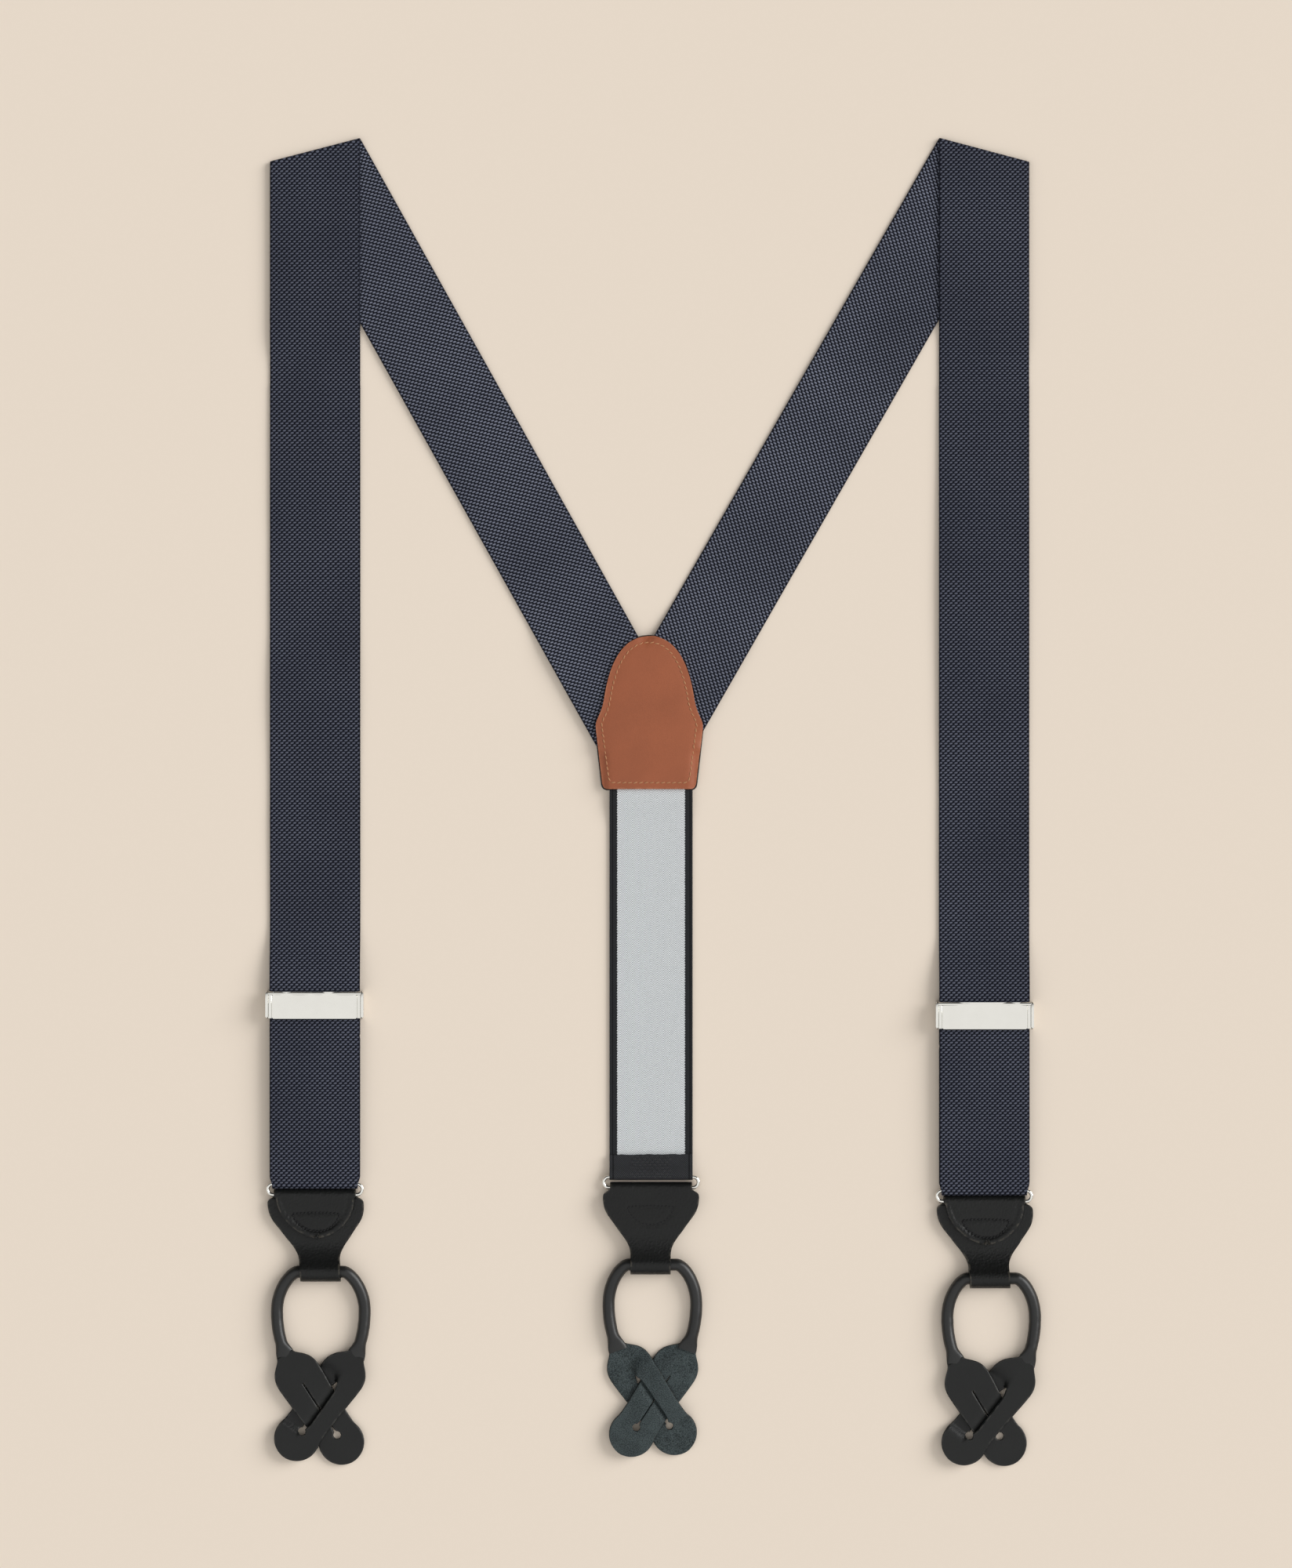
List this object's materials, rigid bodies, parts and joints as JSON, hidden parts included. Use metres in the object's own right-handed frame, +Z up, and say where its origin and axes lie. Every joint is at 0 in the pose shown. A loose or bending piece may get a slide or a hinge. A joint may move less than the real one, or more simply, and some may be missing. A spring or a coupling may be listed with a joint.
{
  "type": "suspenders",
  "caption": "Button-on dress suspenders: woven straps on a leather back patch, elastic back strap, lever adjusters, wire rings, leather carriers and rolled button loops.",
  "frame": {"origin": "middle of the back patch's outer face, which lies on z = 0", "axes": "+Y towards the shoulder folds along the back strap, +X to the wearer's right-hand strap as laid, +Z up, out of the back patch's lining"},
  "size_m": [0.3264, 0.5595, 0.0084],
  "materials": {
    "navy_webbing": "woven silk-look ribbon, fine brick pattern of light dashes on near-black navy",
    "elastic": "woven elastic, light grey herringbone inner face with black borders",
    "elastic_face": "ribbed black outer face of the elastic",
    "black_leather": "semi-matte fine-grained calf, painted edges",
    "smooth_black_leather": "smooth satin calf",
    "tan_leather": "smooth vegetable-tanned lining, satin",
    "tab_lining": "embossed dark teal-grey lining",
    "cord_core": "braided cotton cord",
    "nickel": "polished nickel plate",
    "black_thread": "waxed thread",
    "tan_thread": "waxed thread"
  },
  "bodies": {
    "back_and_straps": {"back_patch_outer": "black_leather", "back_patch_lining": "tan_leather", "back_patch_seam": "tan_thread", "front_left_shoulder_strap": "navy_webbing", "front_left_strap_run": "navy_webbing", "front_right_shoulder_strap": "navy_webbing", "front_right_strap_run": "navy_webbing", "back_elastic": "elastic"},
    "left_adjuster": {"front_left_adjuster_frame": "nickel", "front_left_adjuster_pin": "nickel", "front_left_strap_sewn_end": "navy_webbing", "front_left_strap_seam": "black_thread"},
    "left_lever": {"front_left_adjuster_lever": "nickel"},
    "left_strap_bottom": {"front_left_strap_loop": "navy_webbing"},
    "left_ring": {"front_left_ring": "nickel"},
    "left_carrier": {"front_left_carrier": "black_leather", "front_left_carrier_seam": "black_thread"},
    "left_loop": {"front_left_rolled_loop": "smooth_black_leather", "front_left_loop_core": "cord_core", "front_left_tab_a": "smooth_black_leather", "front_left_tab_b": "smooth_black_leather", "front_left_tab_lining_a": "tab_lining", "front_left_tab_lining_b": "tab_lining"},
    "right_adjuster": {"front_right_adjuster_frame": "nickel", "front_right_adjuster_pin": "nickel", "front_right_strap_sewn_end": "navy_webbing", "front_right_strap_seam": "black_thread"},
    "right_lever": {"front_right_adjuster_lever": "nickel"},
    "right_strap_bottom": {"front_right_strap_loop": "navy_webbing"},
    "right_ring": {"front_right_ring": "nickel"},
    "right_carrier": {"front_right_carrier": "black_leather", "front_right_carrier_seam": "black_thread"},
    "right_loop": {"front_right_rolled_loop": "smooth_black_leather", "front_right_loop_core": "cord_core", "front_right_tab_a": "smooth_black_leather", "front_right_tab_b": "smooth_black_leather", "front_right_tab_lining_a": "tab_lining", "front_right_tab_lining_b": "tab_lining"},
    "back_elastic_bottom": {"back_elastic_turned_end": "elastic_face", "back_elastic_bar_tack": "black_thread"},
    "back_ring": {"back_ring": "nickel"},
    "back_carrier": {"back_carrier": "black_leather", "back_carrier_seam": "black_thread"},
    "back_loop": {"back_rolled_loop": "smooth_black_leather", "back_loop_core": "cord_core", "back_tab_a": "smooth_black_leather", "back_tab_b": "smooth_black_leather", "back_tab_lining_a": "tab_lining", "back_tab_lining_b": "tab_lining"}
  },
  "joints": [
    {"name": "left_adjuster_slide", "type": "slide", "parent": "back_and_straps", "child": "left_adjuster", "axis": [0, 1, 0], "range_m": [-0.11, 0.12], "deforming": ["front_left_strap_run"]},
    {"name": "left_strap_travel", "type": "slide", "parent": "left_adjuster", "child": "left_strap_bottom", "axis": [0, 1, 0], "range_m": [-0.06, 0.055], "deforming": ["front_left_strap_loop"]},
    {"name": "left_lever_hinge", "type": "hinge", "parent": "left_adjuster", "child": "left_lever", "pos_m": [-0.1407, -0.11816, 0.00581], "axis": [-1, 0, 0], "range_deg": [0, 105]},
    {"name": "left_ring_hinge", "type": "hinge", "parent": "left_strap_bottom", "child": "left_ring", "pos_m": [-0.1407, -0.19835, 0.0024], "axis": [-1, 0, 0], "range_deg": [0, 60]},
    {"name": "left_carrier_hinge", "type": "hinge", "parent": "left_ring", "child": "left_carrier", "pos_m": [-0.1407, -0.20305, 0.0024], "axis": [-1, 0, 0], "range_deg": [0, 60]},
    {"name": "left_loop_hinge", "type": "hinge", "parent": "left_carrier", "child": "left_loop", "pos_m": [-0.1384, -0.23535, 0.0042], "axis": [-1, 0, 0], "range_deg": [0, 45]},
    {"name": "right_adjuster_slide", "type": "slide", "parent": "back_and_straps", "child": "right_adjuster", "axis": [0, 1, 0], "range_m": [-0.11, 0.12], "deforming": ["front_right_strap_run"]},
    {"name": "right_strap_travel", "type": "slide", "parent": "right_adjuster", "child": "right_strap_bottom", "axis": [0, 1, 0], "range_m": [-0.06, 0.055], "deforming": ["front_right_strap_loop"]},
    {"name": "right_lever_hinge", "type": "hinge", "parent": "right_adjuster", "child": "right_lever", "pos_m": [0.1411, -0.12256, 0.00581], "axis": [-1, 0, 0], "range_deg": [0, 105]},
    {"name": "right_ring_hinge", "type": "hinge", "parent": "right_strap_bottom", "child": "right_ring", "pos_m": [0.1411, -0.20115, 0.0024], "axis": [-1, 0, 0], "range_deg": [0, 60]},
    {"name": "right_carrier_hinge", "type": "hinge", "parent": "right_ring", "child": "right_carrier", "pos_m": [0.1411, -0.20585, 0.0024], "axis": [-1, 0, 0], "range_deg": [0, 60]},
    {"name": "right_loop_hinge", "type": "hinge", "parent": "right_carrier", "child": "right_loop", "pos_m": [0.1432, -0.23815, 0.0042], "axis": [-1, 0, 0], "range_deg": [0, 45]},
    {"name": "back_elastic_stretch", "type": "slide", "parent": "back_and_straps", "child": "back_elastic_bottom", "axis": [0, -1, 0], "range_m": [0, 0.055], "stiffness_N_per_m": 220, "deforming": ["back_elastic"]},
    {"name": "back_ring_hinge", "type": "hinge", "parent": "back_elastic_bottom", "child": "back_ring", "pos_m": [0.0008, -0.19535, 0.0024], "axis": [-1, 0, 0], "range_deg": [0, 60]},
    {"name": "back_carrier_hinge", "type": "hinge", "parent": "back_ring", "child": "back_carrier", "pos_m": [0.0008, -0.20005, 0.0024], "axis": [-1, 0, 0], "range_deg": [0, 60]},
    {"name": "back_loop_hinge", "type": "hinge", "parent": "back_carrier", "child": "back_loop", "pos_m": [0.0006, -0.23235, 0.0042], "axis": [-1, 0, 0], "range_deg": [0, 45]}
  ],
  "couplings": [
    {"joint": "left_strap_travel", "follows": "left_adjuster_slide", "ratio": -0.5},
    {"joint": "right_strap_travel", "follows": "right_adjuster_slide", "ratio": -0.5}
  ]
}
